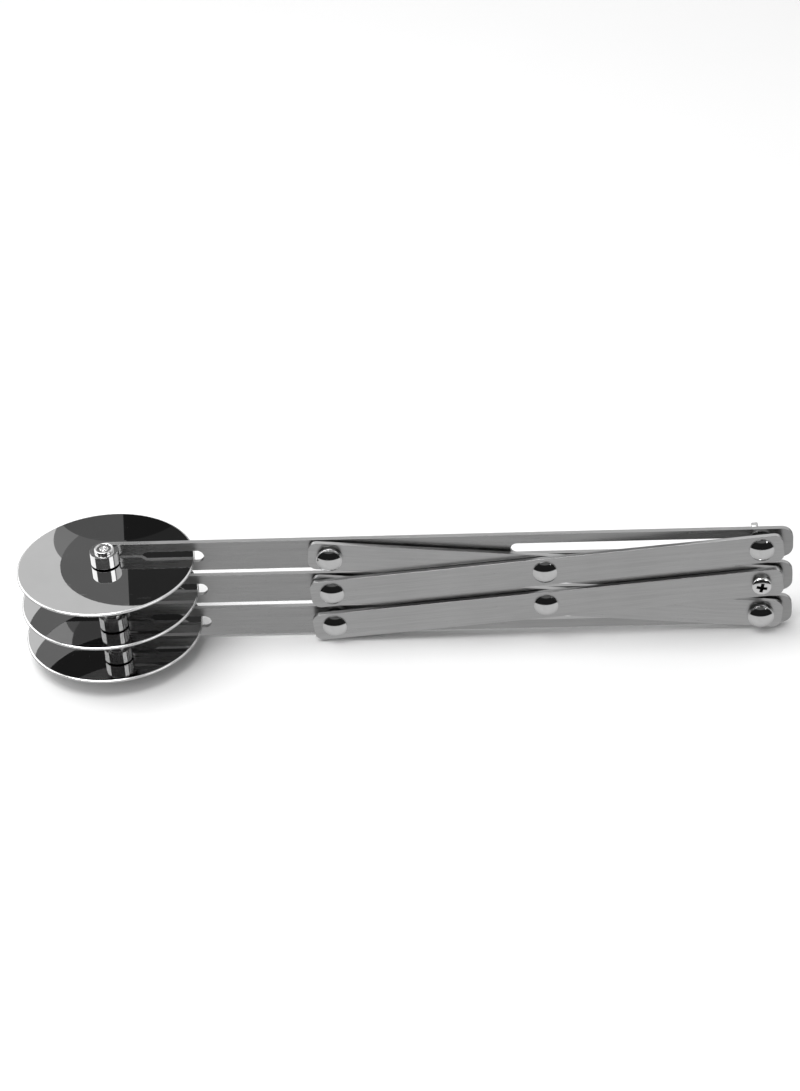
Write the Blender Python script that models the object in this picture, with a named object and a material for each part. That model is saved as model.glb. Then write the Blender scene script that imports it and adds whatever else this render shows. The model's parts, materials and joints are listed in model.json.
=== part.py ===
"""Expanding three-wheel pastry cutter, stainless steel, shown closed.

Three flat arms lie one above another. Each arm ends in a fork whose two legs are curled into
knuckles round an axle pin, and a plain cutting wheel turns between them. Four links form two
scissors in front of the arms. The links' left ends pivot on the arms and their right ends slide
in long slots, so the three wheels move apart and stay parallel. A screw and a wing nut lock them.

+X runs from the wheels to the handle end, +Y goes from the links to the back of the arms, and
+Z is up along the axles. The origin is under the middle of the closed tool's box.
"""

from math import atan, cos, hypot, pi, sin

import bmesh
import bpy
from mathutils import Vector

MM = 0.001

# Layout of the closed tool: distances from an arm's axle along X, and from its centre line along Z
PITCH = 12.2 * MM
ARM_END = 206.8 * MM
PIVOT_X = 67.9 * MM
SLIDE_X = 197.3 * MM
CROSS_X = (PIVOT_X + SLIDE_X) / 2
LINK_ANGLE = atan(PITCH / (SLIDE_X - PIVOT_X))
LINK_SPAN = hypot(PITCH, SLIDE_X - PIVOT_X)

# Sheet metal
ARM_THICKNESS = 1.55 * MM
ARM_HALF_WIDTH = 5.0 * MM
ARM_CORNER = 3.5 * MM
LINK_THICKNESS = 1.4 * MM
LINK_HALF_WIDTH = 4.7 * MM
LINK_CORNER = 2.7 * MM
LINK_MARGIN = 6.5 * MM
GAP = 0.1 * MM
ARM_PLAY = 0.7 * MM
LINK_PLAY = 0.3 * MM

# Fork, knuckles and handle slot
KNUCKLE_RADIUS = 4.4 * MM
KNUCKLE_TURN = 1.69 * pi
KNUCKLE_STEPS = 16
HUB_SLOT_HALF = 0.95 * MM
FORK_SLOT_HALF = 2.1 * MM
FORK_STEP_X = (10.4 * MM, 12.0 * MM)
FORK_END = 29.6 * MM
SLOT_HALF = 1.95 * MM
SLOT_SPAN = (122.4 * MM, 200.0 * MM)
PLAIN_SPAN = (32.0 * MM, 61.0 * MM)
PLAIN_RISE = 0.02 * MM
PLAIN_RAMP = 0.5 * MM

# Wheels and axle pins
WHEEL_RADIUS = 27.0 * MM
WHEEL_HALF_THICKNESS = 0.5 * MM
WHEEL_BEVEL = 0.25 * MM
WHEEL_BORE = 2.6 * MM
AXLE_RADIUS = 2.5 * MM
AXLE_HEAD_RADIUS = 3.1 * MM
AXLE_HEAD_TOP = 5.9 * MM

# Rivets, spacers and washers
SHANK_RADIUS = 1.85 * MM
HOLE_RADIUS = 1.93 * MM
HEAD_RADIUS = 3.65 * MM
HEAD_HEIGHT = 1.6 * MM
TAIL_RADIUS = 3.3 * MM
TAIL_HEIGHT = 1.0 * MM
FLUSH_TAIL_RADIUS = 3.0 * MM
SPACER_RADIUS = 3.9 * MM
SLIDE_WASHER = (4.0 * MM, 0.6 * MM)
LOCK_WASHER = (4.4 * MM, 0.8 * MM)

# Lock screw and wing nut
SCREW_HEAD_RADIUS = 3.1 * MM
SCREW_HEAD_HEIGHT = 2.3 * MM
SCREW_TIP = 11.3 * MM
RECESS_REACH = 1.7 * MM
RECESS_HALF_WIDTH = 0.45 * MM
RECESS_DEPTH = 1.3 * MM
RECESS_TURN = 0.2
NUT_BASE_RADIUS = 4.0 * MM
NUT_TOP_RADIUS = 3.3 * MM
NUT_HEIGHT = 4.4 * MM
EAR_REACH = 12.4 * MM
EAR_HEIGHT = 9.8 * MM
EAR_HALF_THICKNESS = 1.0 * MM
EAR_LEAN = 0.115

ROUND_STEPS = 16
WHEEL_STEPS = 48

# Layers from the back of the arms to the front of the front links, measured along Y from the axles.
# The loose rivets leave play between the arms and the back links, and between the links.
ARM_BACK = KNUCKLE_RADIUS
ARM_FRONT = ARM_BACK - ARM_THICKNESS
BACK_LINK_BACK = ARM_FRONT - ARM_PLAY
BACK_LINK_FRONT = BACK_LINK_BACK - LINK_THICKNESS
FRONT_LINK_BACK = BACK_LINK_FRONT - LINK_PLAY
FRONT_LINK_FRONT = FRONT_LINK_BACK - LINK_THICKNESS
HEAD_SEAT = FRONT_LINK_FRONT - GAP

# The lowest axle pin's head is the lowest point, and the box is centred over the origin
AXLE_X = (WHEEL_RADIUS - ARM_END) / 2
ARM_Z = {
    "lower": AXLE_HEAD_TOP,
    "middle": AXLE_HEAD_TOP + PITCH,
    "upper": AXLE_HEAD_TOP + 2 * PITCH,
}

# Colour, roughness and metallic value of each finish
FINISHES = {
    "mirror": ((0.62, 0.62, 0.63), 0.06, 1.0),
    "satin": ((0.55, 0.55, 0.55), 0.34, 1.0),
    "polished": ((0.68, 0.68, 0.69), 0.14, 1.0),
}


def clear_scene():
    for thing in list(bpy.data.objects):
        bpy.data.objects.remove(thing, do_unlink=True)


def at(x, y, height):
    """A point given from an axle along X, from the axles along Y, and above the ground."""
    return Vector((AXLE_X + x, y, height))


def arc(centre, radius, start, end, steps):
    """Points (x, z) along an arc, both ends included."""
    cx, cz = centre
    angles = [start + (end - start) * i / steps for i in range(steps + 1)]
    return [(cx + radius * cos(a), cz + radius * sin(a)) for a in angles]


def circle(centre, radius):
    return arc(centre, radius, 0, 2 * pi, ROUND_STEPS)[:-1]


def joint_frame(name, location, parent=None):
    """An empty on a joint's axis, which carries the pieces that move together."""
    empty = bpy.data.objects.new(name, None)
    empty.empty_display_size = 5 * MM
    bpy.context.collection.objects.link(empty)
    empty.parent = parent
    empty.location = location - world_place(parent)
    return empty


def world_place(thing):
    """Where an empty stands: the sum of the offsets up its chain of parents."""
    place = Vector((0, 0, 0))
    while thing:
        place += thing.location
        thing = thing.parent
    return place


def material(name, finish):
    colour, roughness, metallic = FINISHES[finish]
    steel = bpy.data.materials.new(name)
    steel.use_nodes = True
    shader = steel.node_tree.nodes["Principled BSDF"]
    shader.inputs["Base Color"].default_value = (*colour, 1.0)
    shader.inputs["Roughness"].default_value = roughness
    shader.inputs["Metallic"].default_value = metallic
    return steel


def piece(name, bm, finish, frame, location, turn=0.0):
    """Turns a bmesh into a named object on its joint frame, turned about Y."""
    bmesh.ops.recalc_face_normals(bm, faces=bm.faces)
    mesh = bpy.data.meshes.new(name)
    bm.to_mesh(mesh)
    bm.free()
    mesh.shade_smooth()
    mesh.set_sharp_from_angle(angle=0.6)
    mesh.materials.append(material(name + "_steel", finish))
    thing = bpy.data.objects.new(name, mesh)
    bpy.context.collection.objects.link(thing)
    thing.parent = frame
    thing.location = location - world_place(frame)
    thing.rotation_euler = (0, turn, 0)
    return thing


def plate(parts, front, back):
    """A flat plate in the XZ plane from front to back.

    Each part is an outline and a list of holes, all point lists. Neighbouring parts share an edge.
    """
    bm = bmesh.new()
    for outline, holes in parts:
        edges = []
        for loop in [outline, *holes]:
            verts = [bm.verts.new((x, back, z)) for x, z in loop]
            edges += [bm.edges.new((verts[i - 1], vert)) for i, vert in enumerate(verts)]
        bmesh.ops.triangle_fill(bm, edges=edges, use_beauty=True)
    bmesh.ops.remove_doubles(bm, verts=bm.verts, dist=GAP / 100)
    swept = bmesh.ops.extrude_face_region(bm, geom=bm.faces[:], use_keep_orig=True)
    moved = [item for item in swept["geom"] if isinstance(item, bmesh.types.BMVert)]
    bmesh.ops.translate(bm, verts=moved, vec=(0, front - back, 0))
    return bm


def turned(profile, axis, steps=ROUND_STEPS, closed=False):
    """A solid of revolution. The profile lists (radius, distance along the axis)."""
    bm = bmesh.new()
    along = Vector(axis)
    across = Vector((1, 0, 0))
    verts = [bm.verts.new(across * radius + along * height) for radius, height in profile]
    first = 0 if closed else 1
    edges = [bm.edges.new((verts[i - 1], verts[i])) for i in range(first, len(verts))]
    bmesh.ops.spin(bm, geom=verts + edges, axis=along, cent=(0, 0, 0), angle=2 * pi, steps=steps)
    bmesh.ops.remove_doubles(bm, verts=bm.verts, dist=GAP / 100)
    return bm


def rounded_bar_outline(left, right, half_width, corner, steps=5):
    """A bar in the XZ plane with four round corners."""
    near, far = left + corner, right - corner
    low, high = corner - half_width, half_width - corner
    points = arc((far, low), corner, -pi / 2, 0, steps)
    points += arc((far, high), corner, 0, pi / 2, steps)
    points += arc((near, high), corner, pi / 2, pi, steps)
    points += arc((near, low), corner, pi, 3 * pi / 2, steps)
    return points


def arm_parts():
    """The arm from its axle: a fork with stepped legs, a plain stretch, and the slotted handle.

    The plain stretch is a hair wider than the rest, so that it keeps corners of its own.
    """
    start, end = PLAIN_SPAN
    wide = ARM_HALF_WIDTH
    narrow = ARM_HALF_WIDTH - PLAIN_RISE
    near, far = FORK_STEP_X
    upper_leg = [(0, HUB_SLOT_HALF), (near, HUB_SLOT_HALF), (far, FORK_SLOT_HALF)]
    fork = upper_leg + arc((FORK_END - FORK_SLOT_HALF, 0), FORK_SLOT_HALF, pi / 2, -pi / 2, 10)
    fork += [(x, -z) for x, z in reversed(upper_leg)]
    fork += [(0, -narrow), (start - PLAIN_RAMP, -narrow), (start, -wide)]
    fork += [(start, wide), (start - PLAIN_RAMP, narrow), (0, narrow)]
    plain = [(start, -wide), (end, -wide), (end, wide), (start, wide)]
    corner_x, corner_z = ARM_END - ARM_CORNER, narrow - ARM_CORNER
    handle = [(end, -wide), (end + PLAIN_RAMP, -narrow)]
    handle += arc((corner_x, -corner_z), ARM_CORNER, -pi / 2, 0, 5)
    handle += arc((corner_x, corner_z), ARM_CORNER, 0, pi / 2, 5)
    handle += [(end + PLAIN_RAMP, narrow), (end, wide)]
    holes = [circle((PIVOT_X, 0), HOLE_RADIUS), slot_outline()]
    return [(fork, []), (plain, []), (handle, holes)]


def slot_outline():
    left, right = SLOT_SPAN
    points = arc((right - SLOT_HALF, 0), SLOT_HALF, -pi / 2, pi / 2, 8)
    return points + arc((left + SLOT_HALF, 0), SLOT_HALF, pi / 2, 3 * pi / 2, 8)


def arm_mesh():
    """An arm about its axle. Its plain stretch has faces of its own on every side."""
    bm = plate(arm_parts(), ARM_FRONT, ARM_BACK)
    bmesh.ops.recalc_face_normals(bm, faces=bm.faces)
    inner_edges = [edge for edge in bm.edges if not on_a_cut(edge)]
    bmesh.ops.dissolve_limit(bm, angle_limit=0.01, verts=bm.verts, edges=inner_edges)
    curl_knuckles(bm)
    return bm


def on_a_cut(edge):
    """Whether an edge lies across either end of the plain stretch."""
    return any(all(abs(vert.co.x - x) < GAP / 100 for vert in edge.verts) for x in PLAIN_SPAN)


def curl_knuckles(bm):
    """Sweeps the end of each leg round the axle, forwards and back to the face of the arm."""
    leg_ends = [f for f in bm.faces if all(abs(v.co.x) < GAP / 10 for v in f.verts)]
    for face in leg_ends:
        geometry = [face, *face.edges, *face.verts]
        bmesh.ops.spin(bm, geom=geometry, axis=(0, 0, 1), cent=(0, 0, 0),
                       angle=KNUCKLE_TURN, steps=KNUCKLE_STEPS)


def link_mesh(front, back, flush_rivet):
    """A link about its middle. The middle hole widens to the back where it takes a flush rivet."""
    half_span = LINK_SPAN / 2
    end = half_span + LINK_MARGIN
    middle_radius = FLUSH_TAIL_RADIUS + GAP if flush_rivet else HOLE_RADIUS
    holes = [circle((0, 0), middle_radius)]
    holes += [circle((side * half_span, 0), HOLE_RADIUS) for side in (-1, 1)]
    outline = rounded_bar_outline(-end, end, LINK_HALF_WIDTH, LINK_CORNER)
    bm = plate([(outline, holes)], front, back)
    if flush_rivet:
        narrow_to_the_front(bm, front, middle_radius)
    return bm


def narrow_to_the_front(bm, front, radius):
    """Draws the middle hole's front rim in to a plain hole's radius, which leaves a cone."""
    for vert in bm.verts:
        on_front = abs(vert.co.y - front) < GAP / 10
        if on_front and hypot(vert.co.x, vert.co.z) < radius + GAP / 10:
            vert.co.x *= HOLE_RADIUS / radius
            vert.co.z *= HOLE_RADIUS / radius


def dome(radius, seat, height, outward):
    """Profile points of a rivet head from its seat to its crown, along Y."""
    rim = 0.22 * height
    points = [(radius, seat), (radius, seat + outward * rim)]
    for turn in (0.3, 0.6, 0.85):
        lift = rim + (height - rim) * sin(turn * pi / 2)
        points.append((radius * cos(turn * pi / 2), seat + outward * lift))
    points.append((0, seat + outward * height))
    return points


def rivet_mesh(tail_seat):
    """A domed head in front of the front links, a shank, and a low domed tail at tail_seat."""
    front_dome = dome(HEAD_RADIUS, HEAD_SEAT, HEAD_HEIGHT, -1)
    back_dome = dome(TAIL_RADIUS, tail_seat, TAIL_HEIGHT, 1)
    shank = [(SHANK_RADIUS, HEAD_SEAT), (SHANK_RADIUS, tail_seat)]
    return turned(front_dome[::-1] + shank + back_dome, (0, 1, 0))


def flush_rivet_mesh():
    """A domed head, a shank through the front link and a cone that is flush with the back link."""
    front_dome = dome(HEAD_RADIUS, HEAD_SEAT, HEAD_HEIGHT, -1)
    end = BACK_LINK_BACK - GAP / 2
    cone = [(SHANK_RADIUS, HEAD_SEAT), (SHANK_RADIUS, BACK_LINK_FRONT), (FLUSH_TAIL_RADIUS, end), (0, end)]
    return turned(front_dome[::-1] + cone, (0, 1, 0))


def ring_mesh(radius, front, back):
    inner = HOLE_RADIUS
    profile = [(inner, front), (radius, front), (radius, back), (inner, back)]
    return turned(profile, (0, 1, 0), closed=True)


def wheel_mesh():
    half, edge = WHEEL_HALF_THICKNESS, WHEEL_RADIUS
    profile = [
        (WHEEL_BORE, half),
        (edge - WHEEL_BEVEL, half),
        (edge, half - WHEEL_BEVEL),
        (edge, WHEEL_BEVEL - half),
        (edge - WHEEL_BEVEL, -half),
        (WHEEL_BORE, -half),
    ]
    return turned(profile, (0, 0, 1), WHEEL_STEPS, closed=True)


def axle_pin_mesh():
    """A pin with the same rolled head at both ends, dimpled in the middle."""
    seat = ARM_HALF_WIDTH + GAP / 2
    top, edge = AXLE_HEAD_TOP, AXLE_HEAD_RADIUS
    upper = [
        (0, top - 0.6 * MM),
        (0.75 * MM, top - 0.1 * MM),
        (1.1 * MM, top),
        (2.1 * MM, top),
        (edge - 0.2 * MM, top - 0.4 * MM),
        (edge, top - 0.75 * MM),
        (edge, seat),
        (AXLE_RADIUS, seat),
    ]
    lower = [(radius, -height) for radius, height in reversed(upper)]
    return turned(upper + lower, (0, 0, 1))


def screw_mesh():
    """A pan-head screw along Y, without its recess."""
    front = HEAD_SEAT - SCREW_HEAD_HEIGHT
    profile = [
        (0, front),
        (1.9 * MM, front + 0.1 * MM),
        (2.7 * MM, front + 0.5 * MM),
        (SCREW_HEAD_RADIUS, front + 1.2 * MM),
        (SCREW_HEAD_RADIUS, HEAD_SEAT),
        (SHANK_RADIUS, HEAD_SEAT),
        (SHANK_RADIUS, SCREW_TIP - 0.4 * MM),
        (SHANK_RADIUS - 0.4 * MM, SCREW_TIP),
        (0, SCREW_TIP),
    ]
    return turned(profile, (0, 1, 0))


def recess_mesh():
    """A cross-shaped cutter that starts in front of the screw's head."""
    reach, half = RECESS_REACH, RECESS_HALF_WIDTH
    quarter = [(half, half), (half, reach), (-half, reach)]
    outline = []
    for quarter_turn in range(4):
        c, s = cos(quarter_turn * pi / 2), sin(quarter_turn * pi / 2)
        outline += [(x * c - z * s, x * s + z * c) for x, z in quarter]
    front = HEAD_SEAT - SCREW_HEAD_HEIGHT
    return plate([(outline, [])], front - 1.0 * MM, front + RECESS_DEPTH)


def wing_nut_hub_mesh():
    base, top = nut_base(), nut_base() + NUT_HEIGHT
    profile = [(HOLE_RADIUS, base), (NUT_BASE_RADIUS, base), (NUT_TOP_RADIUS, top), (HOLE_RADIUS, top)]
    return turned(profile, (0, 1, 0), closed=True)


def nut_base():
    return ARM_BACK + LOCK_WASHER[1] + 2 * GAP


def ear_mesh(side):
    """One ear of the wing nut: a rounded tongue that leaves the hub and leans back."""
    tip = 2.0 * MM
    crown = EAR_HEIGHT - tip
    profile = [(2.8 * MM, 0.6 * MM), (5.0 * MM, 1.6 * MM), (EAR_REACH - tip, 3.8 * MM)]
    profile += arc((EAR_REACH - tip, crown), tip, -pi / 4, 0.85 * pi, 8)
    profile += [(4.6 * MM, NUT_HEIGHT + 0.6 * MM), (2.8 * MM, NUT_HEIGHT - 0.4 * MM)]
    bm = bmesh.new()
    base = nut_base()
    verts = [bm.verts.new((-EAR_HALF_THICKNESS, base + y, side * z)) for z, y in profile]
    face = bm.faces.new(verts)
    swept = bmesh.ops.extrude_face_region(bm, geom=[face], use_keep_orig=True)
    moved = [item for item in swept["geom"] if isinstance(item, bmesh.types.BMVert)]
    bmesh.ops.translate(bm, verts=moved, vec=(2 * EAR_HALF_THICKNESS, 0, 0))
    return bm


def boolean(target, tool, operation):
    """Applies a shape that the build leaves out to a piece, with an exact Boolean."""
    tool.hide_render = True
    tool.display_type = "WIRE"
    modifier = target.modifiers.new(tool.name, "BOOLEAN")
    modifier.operation = operation
    modifier.solver = "EXACT"
    modifier.object = tool


def add_arm(level, frame):
    """An arm with its axle pin, on the arm's own joint frame."""
    axle = at(0, 0, ARM_Z[level])
    piece("arm_" + level, arm_mesh(), "satin", frame, axle)
    piece("axle_pin_" + level, axle_pin_mesh(), "polished", frame, axle)


def add_wheel(level, arm_frame):
    axle = at(0, 0, ARM_Z[level])
    frame = joint_frame("wheel_joint_" + level, axle, arm_frame)
    piece("wheel_" + level, wheel_mesh(), "mirror", frame, axle)


def add_link(name, side, level, frame):
    """A link. side is front or back, and level says which crossing it belongs to."""
    middle = at(CROSS_X, 0, crossing_height(level))
    if side == "front":
        bm = link_mesh(FRONT_LINK_FRONT, FRONT_LINK_BACK, False)
        turn = -LINK_ANGLE
    else:
        bm = link_mesh(BACK_LINK_FRONT, BACK_LINK_BACK, True)
        turn = LINK_ANGLE
    piece(name, bm, "satin", frame, middle, turn)


def crossing_height(level):
    """The lower crossing is halfway between the lower two arms, the upper one between the upper two."""
    return ARM_Z["middle"] + (PITCH / 2 if level == "upper" else -PITCH / 2)


def add_lock(frame):
    """The screw, washer and wing nut at the middle arm's slot. The nut turns on its own frame."""
    place = at(SLIDE_X, 0, ARM_Z["middle"])
    screw = piece("lock_screw", screw_mesh(), "polished", frame, place)
    recess = piece("lock_screw_recess_cutter", recess_mesh(), "polished", frame, place, RECESS_TURN)
    boolean(screw, recess, "DIFFERENCE")
    radius, thickness = LOCK_WASHER
    washer_front = ARM_BACK + GAP
    washer = ring_mesh(radius, washer_front, washer_front + thickness)
    piece("lock_washer", washer, "polished", frame, place)
    nut_frame = joint_frame("wing_nut_joint", place, frame)
    nut = piece("wing_nut", wing_nut_hub_mesh(), "polished", nut_frame, place, -EAR_LEAN)
    for name, side in (("wing_nut_upper_ear_cutter", 1), ("wing_nut_lower_ear_cutter", -1)):
        ear = piece(name, ear_mesh(side), "polished", nut_frame, place, -EAR_LEAN)
        boolean(nut, ear, "UNION")


def add_slide_rivet(level, spacer_front, spacer_back, frame):
    """The rivet that slides in an arm's slot, with the spacer and the washer that it carries."""
    place = at(SLIDE_X, 0, ARM_Z[level])
    radius, thickness = SLIDE_WASHER
    washer_front = ARM_BACK + GAP
    washer_back = washer_front + thickness
    spacer = ring_mesh(SPACER_RADIUS, spacer_front, spacer_back)
    washer = ring_mesh(radius, washer_front, washer_back)
    piece("slide_rivet_" + level, rivet_mesh(washer_back + GAP), "polished", frame, place)
    piece("slide_spacer_" + level, spacer, "polished", frame, place)
    piece("slide_washer_" + level, washer, "polished", frame, place)


def add_pivot_rivet(level, frame, spacer=None):
    """The rivet that a link's left end turns on. spacer holds the front and back of its spacer."""
    place = at(PIVOT_X, 0, ARM_Z[level])
    piece("pivot_rivet_" + level, rivet_mesh(ARM_BACK + GAP), "polished", frame, place)
    if spacer:
        front, back = spacer
        piece("pivot_spacer_" + level, ring_mesh(SPACER_RADIUS, front, back), "polished", frame, place)


def add_cross_rivet(level, frame):
    place = at(CROSS_X, 0, crossing_height(level))
    piece("cross_rivet_" + level, flush_rivet_mesh(), "polished", frame, place)


def build():
    """The chain of joints climbs from the lower arm to the upper arm through the two scissors."""
    clear_scene()
    front_layer = (FRONT_LINK_FRONT, FRONT_LINK_BACK)
    back_layer = (BACK_LINK_FRONT, BACK_LINK_BACK)
    pivot = {level: at(PIVOT_X, 0, height) for level, height in ARM_Z.items()}
    cross = {level: at(CROSS_X, 0, crossing_height(level)) for level in ("lower", "upper")}

    lower_arm = joint_frame("lower_arm_frame", at(0, 0, ARM_Z["lower"]))
    front_lower = joint_frame("spread_joint", pivot["lower"], lower_arm)
    back_lower = joint_frame("lower_cross_joint", cross["lower"], front_lower)
    middle_arm = joint_frame("middle_arm_joint", pivot["middle"], back_lower)
    front_upper = joint_frame("middle_link_joint", pivot["middle"], middle_arm)
    back_upper = joint_frame("upper_cross_joint", cross["upper"], front_upper)
    upper_arm = joint_frame("upper_arm_joint", pivot["upper"], back_upper)

    arm_frames = {"lower": lower_arm, "middle": middle_arm, "upper": upper_arm}
    for level, frame in arm_frames.items():
        add_arm(level, frame)
        add_wheel(level, frame)
    add_pivot_rivet("lower", lower_arm, back_layer)
    add_pivot_rivet("middle", middle_arm)
    add_pivot_rivet("upper", upper_arm, front_layer)

    add_link("link_front_lower", "front", "lower", front_lower)
    add_link("link_back_lower", "back", "lower", back_lower)
    add_link("link_front_upper", "front", "upper", front_upper)
    add_link("link_back_upper", "back", "upper", back_upper)
    add_cross_rivet("lower", front_lower)
    add_cross_rivet("upper", front_upper)
    add_slide_rivet("lower", *front_layer, back_lower)
    add_slide_rivet("upper", *back_layer, front_upper)
    add_lock(front_lower)


build()
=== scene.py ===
"""The finished look of the expanding pastry cutter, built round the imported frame.

Every visible piece is a finer mesh than the frame's, made about its own axle, pivot or slot place
and riding on the same body. All the steel is procedural: satin bars brushed along their length,
mirror-polished wheels, and polished rivets, pins and screw. Lengths are in metres, and an object
that follows an arm is measured from the arm's axle along X and from its centre line along Z.
"""

import json
from math import asin, atan2, cos, floor, hypot, pi, radians, sin

import bmesh
import bpy
from mathutils import Matrix, Vector


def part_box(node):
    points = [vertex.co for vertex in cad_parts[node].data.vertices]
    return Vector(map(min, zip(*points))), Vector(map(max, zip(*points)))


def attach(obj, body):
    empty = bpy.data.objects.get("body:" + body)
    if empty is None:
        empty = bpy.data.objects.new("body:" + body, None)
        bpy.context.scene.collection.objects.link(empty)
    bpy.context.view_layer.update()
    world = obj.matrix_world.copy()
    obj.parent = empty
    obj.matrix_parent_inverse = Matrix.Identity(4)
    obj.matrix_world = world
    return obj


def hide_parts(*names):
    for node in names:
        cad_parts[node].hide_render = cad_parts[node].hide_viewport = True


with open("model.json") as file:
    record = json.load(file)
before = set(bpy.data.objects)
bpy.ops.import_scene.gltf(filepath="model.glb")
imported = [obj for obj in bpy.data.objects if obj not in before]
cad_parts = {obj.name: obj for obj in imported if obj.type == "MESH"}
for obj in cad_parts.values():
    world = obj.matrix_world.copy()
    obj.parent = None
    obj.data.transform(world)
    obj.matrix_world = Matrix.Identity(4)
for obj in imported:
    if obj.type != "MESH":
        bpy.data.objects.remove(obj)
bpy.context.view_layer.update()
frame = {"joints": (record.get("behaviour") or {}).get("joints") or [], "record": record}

MM = 0.001

# ---------------------------------------------------------------- places that come from the frame

RECORD = frame["record"]
BODY_OF = {node: body for body, nodes in RECORD["behaviour"]["bodies"].items() for node in nodes}
ANCHOR = {joint["name"]: Vector(joint["pos_m"]) for joint in frame["joints"]}

LEVELS = ("lower", "middle", "upper")
AXLE = {level: ANCHOR[level + "_wheel_spin"] for level in LEVELS}
PIVOT_X = ANCHOR["spread"].x - AXLE["lower"].x
SLIDE_X = ANCHOR["wing_nut_turn"].x - AXLE["lower"].x
PITCH = AXLE["middle"].z - AXLE["lower"].z
LINK_ANGLE = atan2(PITCH, SLIDE_X - PIVOT_X)
LINK_SPAN = hypot(PITCH, SLIDE_X - PIVOT_X)
CROSSING = {"lower": ANCHOR["lower_cross"], "upper": ANCHOR["upper_cross"]}

ARM_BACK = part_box("arm_lower")[1].y
ARM_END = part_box("arm_lower")[1].x - AXLE["lower"].x
ARM_HALF_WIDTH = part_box("arm_lower")[1].z - AXLE["lower"].z
BACK_LAYER = (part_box("link_back_lower")[0].y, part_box("link_back_lower")[1].y)
FRONT_LAYER = (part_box("link_front_lower")[0].y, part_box("link_front_lower")[1].y)
PIN_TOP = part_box("axle_pin_lower")[1].z - AXLE["lower"].z
SCREW_FRONT, SCREW_TIP = (corner.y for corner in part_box("lock_screw"))
NUT_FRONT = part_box("wing_nut")[0].y

# ---------------------------------------------------------------- sizes of the pieces

GAP = 0.1 * MM
SHEET = 1.55 * MM
ARM_FRONT = ARM_BACK - SHEET
HEAD_SEAT = FRONT_LAYER[0] - GAP
EDGE_ROUND = 0.17 * MM

ARM_CORNER = 3.5 * MM
KNUCKLE_TURN = 1.69 * pi
HUB_SLOT_HALF = 0.95 * MM
FORK_SLOT_HALF = 2.1 * MM
FORK_STEP = (10.4 * MM, 12.0 * MM)
FORK_END = 29.6 * MM
SLOT_HALF = 1.95 * MM
SLOT_SPAN = (122.4 * MM, 200.0 * MM)

LINK_HALF_WIDTH = 4.7 * MM
LINK_CORNER = 2.7 * MM
LINK_MARGIN = 6.5 * MM

WHEEL_RADIUS = 27.0 * MM
WHEEL_HALF = 0.5 * MM
WHEEL_BORE = 2.6 * MM
RIM_WIDTH = 0.4 * MM
PIN_RADIUS = 2.5 * MM
PIN_HEAD_RADIUS = 2.95 * MM

SHANK_RADIUS = 1.85 * MM
HOLE_RADIUS = 1.93 * MM
HEAD_RADIUS = 3.65 * MM
HEAD_HEIGHT = 1.6 * MM
TAIL_RADIUS = 3.3 * MM
TAIL_HEIGHT = 1.0 * MM
FLUSH_TAIL_RADIUS = 3.0 * MM

SCREW_HEAD_RADIUS = 3.1 * MM
THREAD_PITCH = 0.7 * MM
THREAD_DEPTH = 0.3 * MM
RECESS_TURN = 0.2
NUT_HEIGHT = 4.4 * MM
EAR_REACH = 12.4 * MM
EAR_HEIGHT = 9.8 * MM
EAR_LEAN = 0.115

# ---------------------------------------------------------------- camera

CAMERA_AZIMUTH = radians(4.85)
CAMERA_ELEVATION = radians(34.2)
CAMERA_ROLL = radians(-4.12)
CAMERA_DISTANCE = 0.85
CAMERA_TARGET = Vector((-0.4 * MM, 0, 34.5 * MM))
SENSOR_MM = 36.0
LENS_MM = 93.6

# ---------------------------------------------------------------- studio light

SKY_BACK = 1.0
SKY_SIDE = 0.9
GROUND_FRONT = 0.74
GROUND_BACK = 0.4
DARK_AZIMUTH = (radians(-86), radians(86))
DARK_ELEVATION = (radians(-13), radians(29), radians(66))
HAZE = 0.14
DARK_DEPTH = 0.98
DARK_SOFTNESS = radians(6)
SIDE_CARD_DISTANCE = 0.9

# Name, azimuth, half width, height of the foot and of the head, glow strength
SIDE_CARDS = [
    ("left_softbox", radians(-112), 0.62, 0.28, 1.0, 2.0),
    ("right_softbox", radians(57), 0.30, 0.46, 1.0, 2.1),
    ("front_left_strip", radians(-40), 0.09, 0.68, 1.1, 1.7),
]

# Cards close behind the wheels. The middle wheel reflects mostly the one behind the lower gap, and
# the lowest wheel mostly the one behind the upper gap.
BACKING_DISTANCE = 1.3 * WHEEL_RADIUS
BACKING_HALF_WIDTH = 1.7 * WHEEL_RADIUS
LOW_BACKING_GLOW = 0.27
HIGH_BACKING_GLOW = 0.04

# Round cards above the top wheel: name, centre and radius of the reflection on that wheel from its
# axle, height above it, and the parts. A part is its left edge, its right edge and its glow strength.
WHEEL_CARDS = [
    ("card_low", (10.9 * MM, 2.1 * MM), 24.9 * MM, 0.30,
     [(None, -4.6 * MM, 0.165), (-4.6 * MM, None, 0.03)]),
    ("card_top", (1.6 * MM, 32.8 * MM), 21.3 * MM, 0.28,
     [(None, -0.6 * MM, 0.12), (-0.6 * MM, None, 0.016)]),
    ("card_wide", (4.9 * MM, 16.2 * MM), 23.0 * MM, 0.32, [(None, None, 0.27)]),
]
CARD_EDGE_LEAN = 0.15

# Name, location, size and power of the lights, which point at the origin
OVERHEAD = ("overhead_softbox", (-0.4, -0.05, 1.1), (1.0, 0.8), 10.8)
FILL = ("front_fill", (-0.5, -0.9, 0.8), (0.7, 0.7), 5)


# ---------------------------------------------------------------- node helpers

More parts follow.
